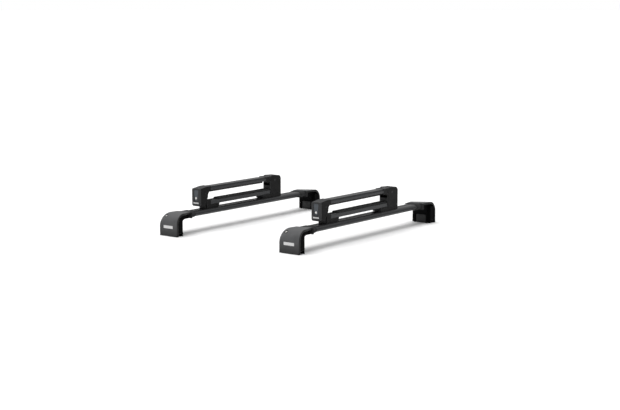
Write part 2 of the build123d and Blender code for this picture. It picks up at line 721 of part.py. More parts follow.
def make_striker_block(name, x):
    """Near riser: it stands on the bar, holds the rail's end and carries the striker's two ears."""
    wrap, block_end = RISER_BLOCK
    foot_start, foot_end, foot_toe = RISER_FOOT
    with BuildPart() as block:
        add_box(
            (x - RISER_NOSE_HALF, x + RISER_NOSE_HALF),
            (arm_y(RISER_NOSE), arm_y(wrap)),
            (BAR_TOP, RISER_TOP),
        )
        fillet(block.edges().filter_by(Axis.Z).group_by(Axis.Y)[0], radius=RISER_ROUND)
        add_box(
            (x - RISER_BLOCK_HALF, x + RISER_BLOCK_HALF),
            (arm_y(wrap), arm_y(block_end)),
            (BAR_TOP, RISER_TOP),
        )
        fillet(block.edges().filter_by(Axis.Y).group_by(Axis.Z)[-1], radius=RISER_ROUND)
        with BuildSketch(side_plane(x)):
            with BuildLine():
                Polyline(
                    (arm_y(foot_start), BAR_TOP),
                    (arm_y(foot_end), BAR_TOP),
                    (arm_y(foot_toe), RAIL_BOTTOM),
                    (arm_y(foot_start), RAIL_BOTTOM),
                    close=True,
                )
            make_face()
        extrude(amount=RISER_FOOT_HALF, both=True)
        with BuildSketch(cross_plane(x, arm_y(RISER_SOCKET_END))):
            add(rail_profile(FIT_GAP / 2))
        extrude(amount=RISER_SOCKET_END - RAIL_START + FIT_GAP, mode=Mode.SUBTRACT)
        with BuildSketch(side_plane(x)):
            with BuildLine():
                Polyline(side_points(EAR_SIDE), close=True)
            make_face()
        extrude(amount=EAR_OUTSIDE, both=True)
        add_box(
            (x - EAR_INSIDE, x + EAR_INSIDE),
            (arm_y(EAR_GAP_PLACES[0]), arm_y(EAR_GAP_PLACES[1])),
            (EAR_GAP_FLOOR, RISER_TOP + CUT),
            mode=Mode.SUBTRACT,
        )
        cross_bore(x, STRIKER_PLACE, STRIKER_RADIUS)
        bolt_bore(x, BOLT_PLACES[0], RAIL_BOTTOM - BAR_TOP + CUT)
    save(block, name)


def make_cross_pin(name, x, place, radius, half_length):
    """Steel pin across a carrier, with chamfered ends."""
    with BuildPart() as pin:
        with BuildSketch(side_plane(x)):
            with Locations((arm_y(place[0]), place[1])):
                Circle(radius)
        extrude(amount=half_length, both=True)
        chamfer(pin.edges().filter_by(GeomType.CIRCLE), length=PIN_CHAMFER)
    save(pin, name)


def make_hinge_base(name, x):
    """Far riser and hinge fork: it stands on the bar, holds the rail's end and the hinge pin."""
    with BuildPart() as base:
        with BuildSketch(side_plane(x)) as outline:
            with BuildLine():
                Polyline(
                    (arm_y(FORK_FOOT), BAR_TOP),
                    (arm_y(CARRIER_LENGTH), BAR_TOP),
                    (arm_y(CARRIER_LENGTH), FORK_FAR_TOP),
                    (arm_y(FORK_START), FORK_TOP),
                    (arm_y(FORK_START), RAIL_BOTTOM),
                    (arm_y(FORK_TOE), RAIL_BOTTOM),
                    close=True,
                )
            make_face()
            # Far corner of the crown first, which leaves its near corner the highest
            fillet(outline.vertices().group_by(Axis.X)[-1].sort_by(Axis.Y)[-1], radius=FORK_FAR_ROUND)
            fillet(outline.vertices().sort_by(Axis.Y)[-1], radius=FORK_NEAR_ROUND)
        extrude(amount=CARRIER_HALF, both=True)
        sides = base.faces().filter_by(Axis.X).edges()
        fillet(sides.filter_by_position(Axis.Z, RAIL_TOP, FORK_TOP + CUT), radius=FORK_SIDE_ROUND)
        add_box(
            (x - FORK_HALF, x + FORK_HALF),
            (arm_y(FORK_GAP_START), arm_y(HINGE_PLACE[0] + BARREL_RADIUS + BARREL_GAP[0])),
            (HINGE_PLACE[1] - BARREL_RADIUS - BARREL_GAP[1], ABOVE),
            mode=Mode.SUBTRACT,
        )
        with BuildSketch(cross_plane(x, arm_y(RAIL_END + FIT_GAP))):
            add(rail_profile(FIT_GAP / 2))
        extrude(amount=FORK_SOCKET, mode=Mode.SUBTRACT)
        cross_bore(x, HINGE_PLACE, HINGE_PIN_RADIUS)
        bolt_bore(x, BOLT_PLACES[1], RAIL_BOTTOM - BAR_TOP + CUT)
    save(base, name)


# Ski carrier: moving upper half


def make_arm_rail(name, x):
    """Upper extrusion, with a groove for its pad below and one hollow chamber."""
    with BuildPart() as rail:
        with BuildSketch(cross_plane(x, arm_y(ARM_END))):
            add(arm_profile())
            add(groove_profile(ARM_BOTTOM, up=True), mode=Mode.SUBTRACT)
            with BuildLine():
                Polyline(ARM_CHAMBER, close=True)
            make_face(mode=Mode.SUBTRACT)
        extrude(amount=ARM_END - ARM_START)
    save(rail, name)


def make_arm_pad(name, x):
    """Upper rubber pad, held by a foot in the arm's groove."""
    start, end = ARM_PAD_PLACES
    with BuildPart() as pad:
        with BuildSketch(cross_plane(x, arm_y(end))):
            with Locations((0, (ARM_BOTTOM + ARM_PAD_BOTTOM) / 2)):
                RectangleRounded(2 * PAD_HALF, ARM_BOTTOM - ARM_PAD_BOTTOM, ARM_PAD_ROUND)
            with Locations((0, ARM_BOTTOM + CUT)):
                Rectangle(GROOVE_MOUTH - 2 * FIT_GAP, PAD_NECK)
            with Locations((0, ARM_BOTTOM + (GROOVE_DEPTH + GROOVE_LIP) / 2)):
                Rectangle(GROOVE_WIDTH - 2 * FIT_GAP, GROOVE_DEPTH - GROOVE_LIP - 2 * FIT_GAP)
        extrude(amount=end - start)
    save(pad, name)


def make_lock_housing(name, x):
    """Cap on the arm's near end: two cheeks, a front wall and a sleeve for the arm."""
    with BuildPart() as housing:
        with BuildSketch(side_plane(x)):
            with BuildLine():
                Polyline(side_points(CAP_SIDE))
                ThreePointArc(side_points(CAP_THROAT))
                Polyline(side_points(CAP_CROWN))
                ThreePointArc(side_points(CAP_BROW))
            make_face()
        extrude(amount=CARRIER_HALF, both=True)
        sides = housing.faces().filter_by(Axis.X).edges()
        fillet(sides.filter_by_position(Axis.Z, *CAP_ROUND_HEIGHTS), radius=CAP_ROUND)
        # Room for the latch, open behind and below
        with BuildSketch(side_plane(x)):
            with BuildLine():
                Polyline(side_points(CAP_INSIDE), close=True)
            make_face()
        extrude(amount=CAP_INSIDE_HALF, both=True, mode=Mode.SUBTRACT)
        seat_places, seat_heights = SPRING_SEAT
        add_box(
            (x - CAP_INSIDE_HALF - CUT, x + CAP_INSIDE_HALF + CUT),
            (arm_y(seat_places[0]), arm_y(seat_places[1])),
            seat_heights,
        )
        with BuildSketch(cross_plane(x, arm_y(CAP_END + CUT))):
            add(arm_profile(FIT_GAP / 2))
        extrude(amount=CAP_END + CUT - ARM_START + FIT_GAP, mode=Mode.SUBTRACT)
        with BuildSketch(cross_plane(x, arm_y(CAP_START + CAP_FRONT_WALL))):
            add(button_profile(FLANGE_GROW + FLANGE_GAP))
        extrude(amount=CAP_FRONT_WALL + CUT, mode=Mode.SUBTRACT)
        cross_bore(x, HOOK_PIVOT, HOOK_PIN_RADIUS)
    save(housing, name)


def make_cap_bezel(name, x):
    """Frame round the button, on the outer face of the cap."""
    with BuildPart() as bezel:
        with BuildSketch(cross_plane(x, arm_y(BEZEL_DEPTH))):
            with Locations((0, (CAP_BOTTOM + CAP_TOP) / 2)):
                RectangleRounded(2 * CARRIER_HALF, CAP_TOP - CAP_BOTTOM, BEZEL_CORNER)
        extrude(amount=BEZEL_DEPTH)
        fillet(bezel.faces().sort_by(Axis.Y)[0].edges(), radius=BEZEL_ROUND)
        with BuildSketch(cross_plane(x, arm_y(BEZEL_DEPTH))):
            add(button_profile(BUTTON_GAP))
        extrude(amount=BEZEL_DEPTH + CUT, mode=Mode.SUBTRACT)
        # Shallow panel under the button
        with BuildSketch(cross_plane(x, arm_y(PANEL_DEPTH))):
            with Locations((0, PANEL_HEIGHT)):
                RectangleRounded(*PANEL_SIZE, PANEL_CORNER)
        extrude(amount=PANEL_DEPTH + CUT, mode=Mode.SUBTRACT)
        # Spigot that joins the bezel to the housing
        width = 2 * (CARRIER_HALF - SPIGOT_INSET)
        height = CAP_TOP - CAP_BOTTOM - 2 * SPIGOT_INSET
        with BuildSketch(cross_plane(x, arm_y(CAP_START))):
            with Locations((0, (CAP_BOTTOM + CAP_TOP) / 2)):
                RectangleRounded(width, height, SPIGOT_CORNER)
            add(button_profile(FLANGE_GROW + FLANGE_GAP), mode=Mode.SUBTRACT)
        extrude(amount=CAP_START - BEZEL_DEPTH)
    save(bezel, name)


def make_push_button(name, x):
    """Keystone button with a retaining flange, a bore for the key barrel and a stem to the hook."""
    with BuildPart() as button:
        with BuildSketch(cross_plane(x, arm_y(BUTTON_BACK))):
            add(button_profile())
        extrude(amount=BUTTON_BACK - BUTTON_FRONT)
        fillet(button.faces().sort_by(Axis.Y)[0].edges(), radius=BUTTON_ROUND)
        with BuildSketch(cross_plane(x, arm_y(BUTTON_BACK))):
            add(button_profile(FLANGE_GROW))
        extrude(amount=BUTTON_BACK - CAP_START - BUTTON_GAP)
        add_rod(x, arm_y(BUTTON_BACK), STEM_RADIUS, STEM_HEIGHT, STEM_END - BUTTON_BACK)
        add_rod(x, arm_y(0), KEY_RADIUS + RUN_GAP, KEY_HEIGHT, KEY_END, mode=Mode.SUBTRACT)
    save(button, name)


def make_key_barrel(name, x):
    """Key barrel in the button, with a cam on its inner end."""
    with BuildPart() as barrel:
        add_rod(x, arm_y(KEY_START), KEY_RADIUS, KEY_HEIGHT, KEY_END - KEY_START)
        with BuildSketch(cross_plane(x, arm_y(KEY_START))):
            with Locations((0, KEY_HEIGHT)):
                Rectangle(KEYWAY_WIDTH, KEYWAY_LENGTH)
        extrude(amount=-KEYWAY_DEPTH, mode=Mode.SUBTRACT)
        with BuildSketch(cross_plane(x, arm_y(KEY_END))):
            with Locations((0, KEY_HEIGHT + CAM_OFFSET)):
                Rectangle(CAM_SIZE[0], CAM_SIZE[1])
        extrude(amount=-CAM_SIZE[2])
    save(barrel, name)


def make_button_spring(name, x):
    """Envelope of the coil spring behind the button."""
    outside, inside = SPRING_RADII
    length = SPRING_END - BUTTON_BACK
    with BuildPart() as spring:
        add_rod(x, arm_y(BUTTON_BACK), outside, SPRING_HEIGHT, length)
        add_rod(x, arm_y(BUTTON_BACK), inside, SPRING_HEIGHT, length, mode=Mode.SUBTRACT)
    save(spring, name)


def make_latch_hook(name, x):
    """Hook that hangs from its pin and reaches under the striker."""
    with BuildPart() as hook:
        with BuildSketch(side_plane(x)):
            with BuildLine():
                Polyline(side_points(HOOK_SIDE), close=True)
            make_face()
            with Locations((arm_y(HOOK_PIVOT[0]), HOOK_PIVOT[1])):
                Circle(HOOK_EYE)
        extrude(amount=HOOK_HALF, both=True)
        cross_bore(x, HOOK_PIVOT, HOOK_PIN_RADIUS)
    save(hook, name)


def make_hinge_knuckle(name, x):
    """Casting on the arm's far end: a sleeve round the arm and a barrel on the hinge pin."""
    with BuildPart() as knuckle:
        with BuildSketch(side_plane(x)):
            with BuildLine():
                Polyline(side_points(KNUCKLE_SIDE), close=True)
            make_face()
        extrude(amount=CARRIER_HALF, both=True)
        sides = knuckle.faces().filter_by(Axis.X).edges()
        fillet(sides.filter_by_position(Axis.Z, ARM_TOP + CUT, ABOVE), radius=KNUCKLE_ROUND)
        with BuildSketch(side_plane(x)):
            with BuildLine():
                Polyline(
                    (arm_y(NECK_START), NECK_HEIGHTS[0]),
                    (arm_y(HINGE_PLACE[0]), HINGE_PLACE[1] - BARREL_RADIUS),
                    (arm_y(HINGE_PLACE[0]), HINGE_PLACE[1] + BARREL_RADIUS),
                    (arm_y(NECK_START), NECK_HEIGHTS[1]),
                    close=True,
                )
            make_face()
            with Locations((arm_y(HINGE_PLACE[0]), HINGE_PLACE[1])):
                Circle(BARREL_RADIUS)
        extrude(amount=KNUCKLE_HALF, both=True)
        cross_bore(x, HINGE_PLACE, HINGE_PIN_RADIUS)
        with BuildSketch(cross_plane(x, arm_y(ARM_END + FIT_GAP))):
            add(arm_profile(FIT_GAP / 2))
        extrude(amount=KNUCKLE_SOCKET, mode=Mode.SUBTRACT)
    save(knuckle, name)


# Bolts that hold the carriers to the bars


def make_carrier_bolts():
    """T-bolts, heads in the bars' slots and shanks up through the risers."""
    head_floor = BAR_TOP - SLOT_LIP - STRIP_DROP - BOLT_HEAD[2]
    with BuildPart() as bolts:
        for x in BARS.values():
            for place in BOLT_PLACES:
                with BuildSketch(Plane.XY.offset(head_floor)):
                    with Locations((x, arm_y(place))):
                        RectangleRounded(BOLT_HEAD[0], BOLT_HEAD[1], BOLT_HEAD_ROUND)
                extrude(amount=BOLT_HEAD[2])
                with BuildSketch(Plane.XY.offset(head_floor)):
                    with Locations((x, arm_y(place))):
                        Circle(BOLT_RADIUS)
                extrude(amount=BOLT_TOP - head_floor)
    save(bolts, "carrier_bolts")


def make_carrier_nuts():
    """Hexagon nuts on the T-bolts, inside the base rails."""
    with BuildPart() as nuts:
        for x in BARS.values():
            with BuildSketch(Plane.XY.offset(RAIL_BOTTOM + RAIL_WALL)):
                with Locations([(x, arm_y(place)) for place in BOLT_PLACES]):
                    RegularPolygon(radius=NUT_RADIUS, side_count=6)
                    Circle(BOLT_RADIUS + RUN_GAP, mode=Mode.SUBTRACT)
            extrude(amount=NUT_THICK)
    save(nuts, "carrier_nuts")


os.makedirs("parts", exist_ok=True)
for bar, bar_x in BARS.items():
    make_crossbar(f"{bar}_crossbar", bar_x)
    make_slot_strip(f"{bar}_slot_strip", bar_x)
    for side, mirrored in SIDES.items():
        foot = f"{bar}_{side}"
        make_foot_body(f"{foot}_foot_body", bar_x, mirrored)
        make_foot_cover(f"{foot}_foot_cover", bar_x, mirrored)
        make_foot_lock(f"{foot}_foot_lock", bar_x, mirrored)
        make_rail_jaw(f"{foot}_rail_jaw", bar_x, mirrored)
        make_clamp_screw(f"{foot}_clamp_screw", bar_x, mirrored)
    make_base_rail(f"{bar}_base_rail", bar_x)
    make_base_pad(f"{bar}_base_pad", bar_x)
    make_striker_block(f"{bar}_striker_block", bar_x)
    make_cross_pin(f"{bar}_striker_pin", bar_x, STRIKER_PLACE, STRIKER_RADIUS, EAR_OUTSIDE)
    make_hinge_base(f"{bar}_hinge_base", bar_x)
    make_cross_pin(f"{bar}_hinge_pin", bar_x, HINGE_PLACE, HINGE_PIN_RADIUS, CARRIER_HALF + SEAT_GAP)
    make_arm_rail(f"{bar}_arm_rail", bar_x)
    make_arm_pad(f"{bar}_arm_pad", bar_x)
    make_lock_housing(f"{bar}_lock_housing", bar_x)
    make_cap_bezel(f"{bar}_cap_bezel", bar_x)
    make_push_button(f"{bar}_push_button", bar_x)
    make_key_barrel(f"{bar}_key_barrel", bar_x)
    make_button_spring(f"{bar}_button_spring", bar_x)
    make_latch_hook(f"{bar}_latch_hook", bar_x)
    make_cross_pin(f"{bar}_latch_pin", bar_x, HOOK_PIVOT, HOOK_PIN_RADIUS, CARRIER_HALF - SEAT_GAP)
    make_hinge_knuckle(f"{bar}_hinge_knuckle", bar_x)
make_rail_pads()
make_carrier_bolts()
make_carrier_nuts()
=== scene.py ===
import json
import math

import bmesh
import bpy
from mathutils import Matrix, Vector
from mathutils.bvhtree import BVHTree
from mathutils.geometry import convex_hull_2d


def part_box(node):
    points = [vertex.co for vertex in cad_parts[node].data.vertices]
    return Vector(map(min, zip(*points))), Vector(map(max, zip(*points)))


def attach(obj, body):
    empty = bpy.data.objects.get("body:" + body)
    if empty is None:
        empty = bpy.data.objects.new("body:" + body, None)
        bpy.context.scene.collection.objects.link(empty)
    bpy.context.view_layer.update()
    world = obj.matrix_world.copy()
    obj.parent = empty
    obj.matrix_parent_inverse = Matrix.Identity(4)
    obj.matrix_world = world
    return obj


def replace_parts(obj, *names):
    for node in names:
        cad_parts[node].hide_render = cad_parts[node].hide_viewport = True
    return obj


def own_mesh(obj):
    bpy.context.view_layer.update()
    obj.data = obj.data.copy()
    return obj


# Roof ski rack: two crossbars on four feet, and a hinged ski carrier along each bar.
# Metres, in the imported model's frame: +X is the vehicle's front, +Z is up and -Y is the lock side.

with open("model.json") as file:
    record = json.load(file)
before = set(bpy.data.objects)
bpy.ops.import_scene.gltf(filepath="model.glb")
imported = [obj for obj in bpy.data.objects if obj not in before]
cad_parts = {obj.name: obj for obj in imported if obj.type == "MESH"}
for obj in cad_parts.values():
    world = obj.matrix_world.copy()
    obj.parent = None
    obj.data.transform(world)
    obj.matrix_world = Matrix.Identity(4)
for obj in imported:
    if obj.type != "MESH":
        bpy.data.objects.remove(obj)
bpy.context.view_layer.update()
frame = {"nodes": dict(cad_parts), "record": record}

BARS = {bar: sum(corner.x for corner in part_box(f"{bar}_crossbar")) / 2 for bar in ("front", "rear")}
FEET = {
    f"{bar}_{side}": (x, turn) for bar, x in BARS.items() for side, turn in (("near", 1), ("far", -1))
}
JOINTS = {joint["name"]: joint for joint in frame["record"]["behaviour"]["joints"]}
CAP_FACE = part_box("front_cap_bezel")[0].y
MM = 0.001

# Pieces that the CAD model doesn't have. Strips give half width, half height and corner.
COLLAR_REACH = 466 * MM
# Height under which painted shade darkens the foot covers towards the bottom
COVER_SHADE_TOP = 64 * MM
BADGE_HEIGHT = 46 * MM
BADGE_STRIP = (30 * MM, 7 * MM, 2 * MM)
LABEL_HEIGHT = 139.5 * MM
LABEL_STRIP = (17.5 * MM, 3.4 * MM, 0.8 * MM)
RING_RADIUS = 9.4 * MM
SCREW_HEIGHT = 207 * MM
SCREW_RADIUS = 3.4 * MM
SCREW_PLACES = {"cap": (68, 78), "knuckle": (529, 541)}
PAD_RIB_PITCH = 3.2 * MM

# Stage and camera
FLOOR_REACH = 400.0
CAMERA_PLACE = (3.945, -5.059, 1.098)
CAMERA_AZIMUTH = 37.57
CAMERA_ELEVATION = 8.67
CAMERA_LENS = 74.92


# Shader helpers


class Shader:
    """A node material under construction: each method adds nodes and returns their output."""

    def __init__(self, name):
        self.material = bpy.data.materials.new(name)
        self.material.use_nodes = True
        self.tree = self.material.node_tree
        self.surface = self.tree.nodes["Principled BSDF"]
        self.coordinates = self.tree.nodes.new("ShaderNodeTexCoord").outputs
        self.place = self.coordinates["Object"]

    def link(self, source, target):
        self.tree.links.new(source, target)

    def put(self, name, value):
        """Set a socket of the surface shader to a number, or feed it from another node."""
        socket = self.surface.inputs[name]
        if isinstance(value, bpy.types.NodeSocket):
            self.link(value, socket)
        else:
            socket.default_value = value

    def stretched(self, factors):
        """Object coordinates, scaled along each axis."""
        node = self.tree.nodes.new("ShaderNodeMapping")
        node.inputs["Scale"].default_value = factors
        self.link(self.place, node.inputs["Vector"])
        return node.outputs["Vector"]

    def axis(self, vector, name):
        """One component of a vector."""
        node = self.tree.nodes.new("ShaderNodeSeparateXYZ")
        self.link(vector, node.inputs["Vector"])
        return node.outputs[name]

    def noise(self, scale, detail=3.0, roughness=0.5, place=None):
        node = self.tree.nodes.new("ShaderNodeTexNoise")
        node.inputs["Scale"].default_value = scale
        node.inputs["Detail"].default_value = detail
        node.inputs["Roughness"].default_value = roughness
        self.link(place or self.place, node.inputs["Vector"])
        return node.outputs["Fac"]

    def cells(self, scale):
        node = self.tree.nodes.new("ShaderNodeTexVoronoi")
        node.inputs["Scale"].default_value = scale
        self.link(self.place, node.inputs["Vector"])
        return node.outputs["Distance"]

    def ramp(self, value, low, high, start, end):
        """Value remapped from low..high to start..end, and held there."""
        node = self.tree.nodes.new("ShaderNodeMapRange")
        node.inputs["From Min"].default_value = low
        node.inputs["From Max"].default_value = high
        node.inputs["To Min"].default_value = start
        node.inputs["To Max"].default_value = end
        self.link(value, node.inputs["Value"])
        return node.outputs["Result"]

    def maths(self, operation, *values):
        node = self.tree.nodes.new("ShaderNodeMath")
        node.operation = operation
        for value, socket in zip(values, node.inputs):
            if isinstance(value, (int, float)):
                socket.default_value = value
            else:
                self.link(value, socket)
        return node.outputs["Value"]

    def mix(self, factor, first, second):
        """Colour between two colours, by a factor."""
        node = self.tree.nodes.new("ShaderNodeMix")
        node.data_type = "RGBA"
        self.link(factor, node.inputs["Factor"])
        for value, socket in ((first, node.inputs["A"]), (second, node.inputs["B"])):
            if isinstance(value, tuple):
                socket.default_value = (*value, 1.0)
            else:
                self.link(value, socket)
        return node.outputs["Result"]

    def rounded(self, radius):
        """Normal with its edges rounded over, and a mask that is near 1 on those edges."""
        bevel = self.tree.nodes.new("ShaderNodeBevel")
        bevel.samples = 6
        bevel.inputs["Radius"].default_value = radius
        geometry = self.tree.nodes.new("ShaderNodeNewGeometry")
        dot = self.tree.nodes.new("ShaderNodeVectorMath")
        dot.operation = "DOT_PRODUCT"
        self.link(bevel.outputs["Normal"], dot.inputs[0])
        self.link(geometry.outputs["Normal"], dot.inputs[1])
        return bevel.outputs["Normal"], self.ramp(dot.outputs["Value"], 0.99, 0.80, 0.0, 1.0)

    def bump(self, height, distance, normal=None):
        node = self.tree.nodes.new("ShaderNodeBump")
        node.inputs["Distance"].default_value = distance
        self.link(height, node.inputs["Height"])
        if normal is not None:
            self.link(normal, node.inputs["Normal"])
        return node.outputs["Normal"]


def moulded_plastic(name, colour, worn, rough=0.5, gloss=0.3, painted_shade_top=None, painted_flank_shade=1.0, collar=None):
    """Injection-moulded plastic: spark-eroded grain, faint flow mottling and lighter rubbed edges.

    Painted shade, if asked for, darkens the colour below a given height and on faces square to X,
    where a given share of the colour is left.
    A collar is a distance from the rack's middle and a paler colour for what lies within it.
    """
    s = Shader(name)
    normal, edge = s.rounded(1.0 * MM)
    mottle = s.ramp(s.noise(28, detail=4, roughness=0.6), 0.3, 0.7, 0.0, 1.0)
    fleck = s.ramp(s.noise(900, detail=2), 0.35, 0.65, 0.0, 1.0)
    edge = s.maths("MULTIPLY", edge, s.ramp(s.noise(90, detail=5), 0.35, 0.65, 0.3, 1.0))
    base = s.mix(mottle, tuple(c * 0.84 for c in colour), tuple(c * 1.16 for c in colour))
    base = s.mix(s.maths("MULTIPLY", fleck, 0.25), base, tuple(c * 1.6 for c in colour))
    if collar:
        reach, paler = collar
        away = s.maths("ABSOLUTE", s.axis(s.place, "Y"))
        inside = s.ramp(away, reach + 4 * MM, reach - 4 * MM, 0.0, 1.0)
        base = s.mix(inside, base, paler)
    # Painted shade: the colour darkens towards the bottom, below the given height
    if painted_shade_top:
        depth = s.ramp(s.axis(s.place, "Z"), painted_shade_top, painted_shade_top / 6, 0.0, 0.85)
        base = s.mix(depth, base, tuple(c * 0.18 for c in colour))
    # Painted shade: faces square to X take a darker copy of the colour
    if painted_flank_shade < 1.0:
        side = s.maths("ABSOLUTE", s.axis(s.coordinates["Normal"], "X"))
        base = s.mix(s.ramp(side, 0.55, 0.9, 0.0, 1.0), base, tuple(c * painted_flank_shade for c in colour))
    s.put("Base Color", s.mix(edge, base, worn))
    s.put("Roughness", s.ramp(s.maths("ADD", mottle, fleck), 0.0, 2.0, rough - 0.07, rough + 0.09))
    s.put("Normal", s.bump(s.noise(1400, detail=2, roughness=0.55), 0.07 * MM, normal))
    s.put("Specular IOR Level", gloss)
    return s.material


def anodised(name, colour, worn, rough=0.36, metallic=0.7):
    """Black anodised extrusion: fine die lines along Y, a little cloudiness and bright worn edges."""
    s = Shader(name)
    normal, edge = s.rounded(0.8 * MM)
    lines = s.noise(60, detail=6, roughness=0.65, place=s.stretched((22, 0.6, 22)))
    lines = s.ramp(lines, 0.3, 0.7, 0.0, 1.0)
    cloud = s.ramp(s.noise(16, detail=3), 0.3, 0.7, rough - 0.04, rough + 0.06)
    edge = s.maths("MULTIPLY", edge, s.ramp(s.noise(70, detail=5), 0.4, 0.7, 0.3, 1.0))
    base = s.mix(lines, tuple(c * 0.8 for c in colour), tuple(c * 1.25 for c in colour))
    s.put("Base Color", s.mix(edge, base, worn))
    s.put("Roughness", s.maths("ADD", s.ramp(lines, 0.0, 1.0, -0.05, 0.05), cloud))
    s.put("Normal", s.bump(lines, 0.04 * MM, normal))
    s.put("Metallic", metallic)
    return s.material


def rubber(name, colour=(0.012, 0.012, 0.012), ribs=0.0):
    """Black rubber: dry, with a fine pebble, pale bloom and, if asked, fine ribs across Y."""
    s = Shader(name)
    normal, edge = s.rounded(0.6 * MM)
    bloom = s.ramp(s.noise(45, detail=6, roughness=0.7), 0.45, 0.75, 0.0, 0.5)
    base = s.mix(bloom, colour, tuple(c * 2.4 for c in colour))
    s.put("Base Color", s.mix(s.maths("MULTIPLY", edge, 0.5), base, tuple(c * 3.0 for c in colour)))
    s.put("Roughness", s.ramp(bloom, 0.0, 0.5, 0.62, 0.82))
    if ribs:
        wave = s.maths("SINE", s.maths("MULTIPLY", s.axis(s.place, "Y"), 2 * math.pi / ribs))
        normal = s.bump(s.ramp(wave, -0.4, 0.4, 0.0, 1.0), 0.35 * MM, normal)
    s.put("Normal", s.bump(s.cells(1500), 0.1 * MM, normal))
    s.put("Specular IOR Level", 0.3)
    return s.material


def plated_steel(name, colour, rough):
    """Plated steel: fine scratches, cloudy patches and brighter corners."""
    s = Shader(name)
    normal, edge = s.rounded(0.4 * MM)
    scratches = s.noise(500, detail=4, roughness=0.7, place=s.stretched((1, 6, 1)))
    cloud = s.ramp(s.noise(60, detail=4), 0.3, 0.7, 0.0, 1.0)
    base = s.mix(cloud, tuple(c * 0.85 for c in colour), colour)
    bright = tuple(min(1.0, c * 1.4) for c in colour)
    s.put("Base Color", s.mix(s.maths("MULTIPLY", edge, 0.6), base, bright))
    s.put("Roughness", s.ramp(scratches, 0.3, 0.7, rough - 0.08, rough + 0.12))
    s.put("Normal", s.bump(scratches, 0.03 * MM, normal))
    s.put("Metallic", 1.0)
    return s.material


def coated_steel(name, colour):
    """Steel under a satin black electro-coat: slight orange peel and rubbed corners."""
    s = Shader(name)
    normal, edge = s.rounded(0.5 * MM)
    peel = s.noise(420, detail=1)
    rub = s.maths("MULTIPLY", edge, s.ramp(s.noise(120, detail=5), 0.45, 0.6, 0.0, 0.8))
    s.put("Base Color", s.mix(rub, colour, (0.16, 0.16, 0.165)))
    s.put("Roughness", s.ramp(s.noise(40, detail=4), 0.3, 0.7, 0.38, 0.52))
    s.put("Normal", s.bump(peel, 0.05 * MM, normal))
    s.put("Specular IOR Level", 0.3)
    return s.material


def foil(name, colour, rough, metallic):
    """Plain unprinted strip: satin film over fine brushing, with scuffs."""
    s = Shader(name)
    normal, edge = s.rounded(0.3 * MM)
    brush = s.noise(220, detail=5, roughness=0.7, place=s.stretched((0.5, 1, 14)))
    brush = s.ramp(brush, 0.3, 0.7, 0.0, 1.0)
    scuffs = s.ramp(s.noise(240, detail=6, roughness=0.7), 0.5, 0.8, 0.0, 0.5)
    base = s.mix(brush, tuple(c * 0.9 for c in colour), colour)
    base = s.mix(scuffs, base, tuple(c * 0.65 for c in colour))
    s.put("Base Color", s.mix(s.maths("MULTIPLY", edge, 0.5), base, (0.85, 0.85, 0.85)))
    s.put("Roughness", s.ramp(scuffs, 0.0, 0.5, rough, rough + 0.2))
    s.put("Normal", s.bump(brush, 0.02 * MM, normal))
    s.put("Metallic", metallic)
    return s.material


MATERIALS = {
    "black_aluminium": anodised("black_anodised", (0.034, 0.035, 0.037), (0.20, 0.20, 0.21)),
    "foot_plastic": moulded_plastic(
        "foot_plastic", (0.002, 0.002, 0.0022), (0.010, 0.010, 0.010), rough=0.75, gloss=0.06,
        collar=(COLLAR_REACH, (0.030, 0.030, 0.031)),
    ),
    # Foot covers: painted shade towards the bottom and on faces square to X
    "cover_plastic": moulded_plastic(
        "cover_plastic", (0.059, 0.060, 0.062), (0.12, 0.12, 0.125), rough=0.48,
        painted_shade_top=COVER_SHADE_TOP, painted_flank_shade=0.08,
    ),
    # Housings: painted shade on faces square to X
    "housing_plastic": moulded_plastic(
        "housing_plastic", (0.034, 0.034, 0.035), (0.10, 0.10, 0.104), rough=0.56,
        gloss=0.14, painted_flank_shade=0.12,
    ),
    "bezel_plastic": moulded_plastic(
        "bezel_plastic", (0.022, 0.0225, 0.0235), (0.11, 0.11, 0.115), rough=0.45
    ),
    "button_plastic": moulded_plastic(
        "button_plastic", (0.060, 0.068, 0.078), (0.17, 0.18, 0.20), rough=0.42
    ),
    "rubber": rubber("black_rubber"),
    "lock_metal": plated_steel("nickel_plate", (0.72, 0.71, 0.69), 0.25),
    "zinc_steel": plated_steel("zinc_plate", (0.58, 0.59, 0.61), 0.34),
    "black_steel": coated_steel("black_coat", (0.018, 0.018, 0.019)),
}
PAD_RUBBER = rubber("pad_rubber", (0.015, 0.015, 0.015), ribs=PAD_RIB_PITCH)
BADGE = foil("badge_foil", (0.60, 0.60, 0.60), 0.38, 0.35)
LABEL = foil("label_film", (0.62, 0.62, 0.62), 0.45, 0.0)


# CAD nodes take the finish of their record slot

for entry in frame["record"]["subparts"]:
    mesh = frame["nodes"][entry["node"]].data
    mesh.materials.clear()
    mesh.materials.append(MATERIALS[entry["material_slot"]])


# Mesh helpers


def build(name, work, body, slot, material, crease=35):
    """Turn a bmesh into a shaded piece that rides on a body."""
    bmesh.ops.recalc_face_normals(work, faces=work.faces)
    mesh = bpy.data.meshes.new(name)
    work.to_mesh(mesh)
    work.free()
    mesh.polygons.foreach_set("use_smooth", [True] * len(mesh.polygons))
    mesh.set_sharp_from_angle(angle=math.radians(crease))
    mesh.materials.append(material or MATERIALS[slot])
    piece = bpy.data.objects.new(name, mesh)
    bpy.context.collection.objects.link(piece)
    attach(piece, body)
    return piece


def skin(work, loops, caps=(True, True), ring=False):
    """Add quads between closed loops of equal length, with flat ends or closed into a ring."""
    rows = [[work.verts.new(point) for point in loop] for loop in loops]
    pairs = list(zip(rows, rows[1:]))
    if ring:
        pairs.append((rows[-1], rows[0]))
    for low, high in pairs:
        for i, corner in enumerate(low):
            j = (i + 1) % len(low)
            work.faces.new((corner, low[j], high[j], high[i]))
    if caps[0]:
        work.faces.new(rows[0])
    if caps[1]:
        work.faces.new(rows[-1])


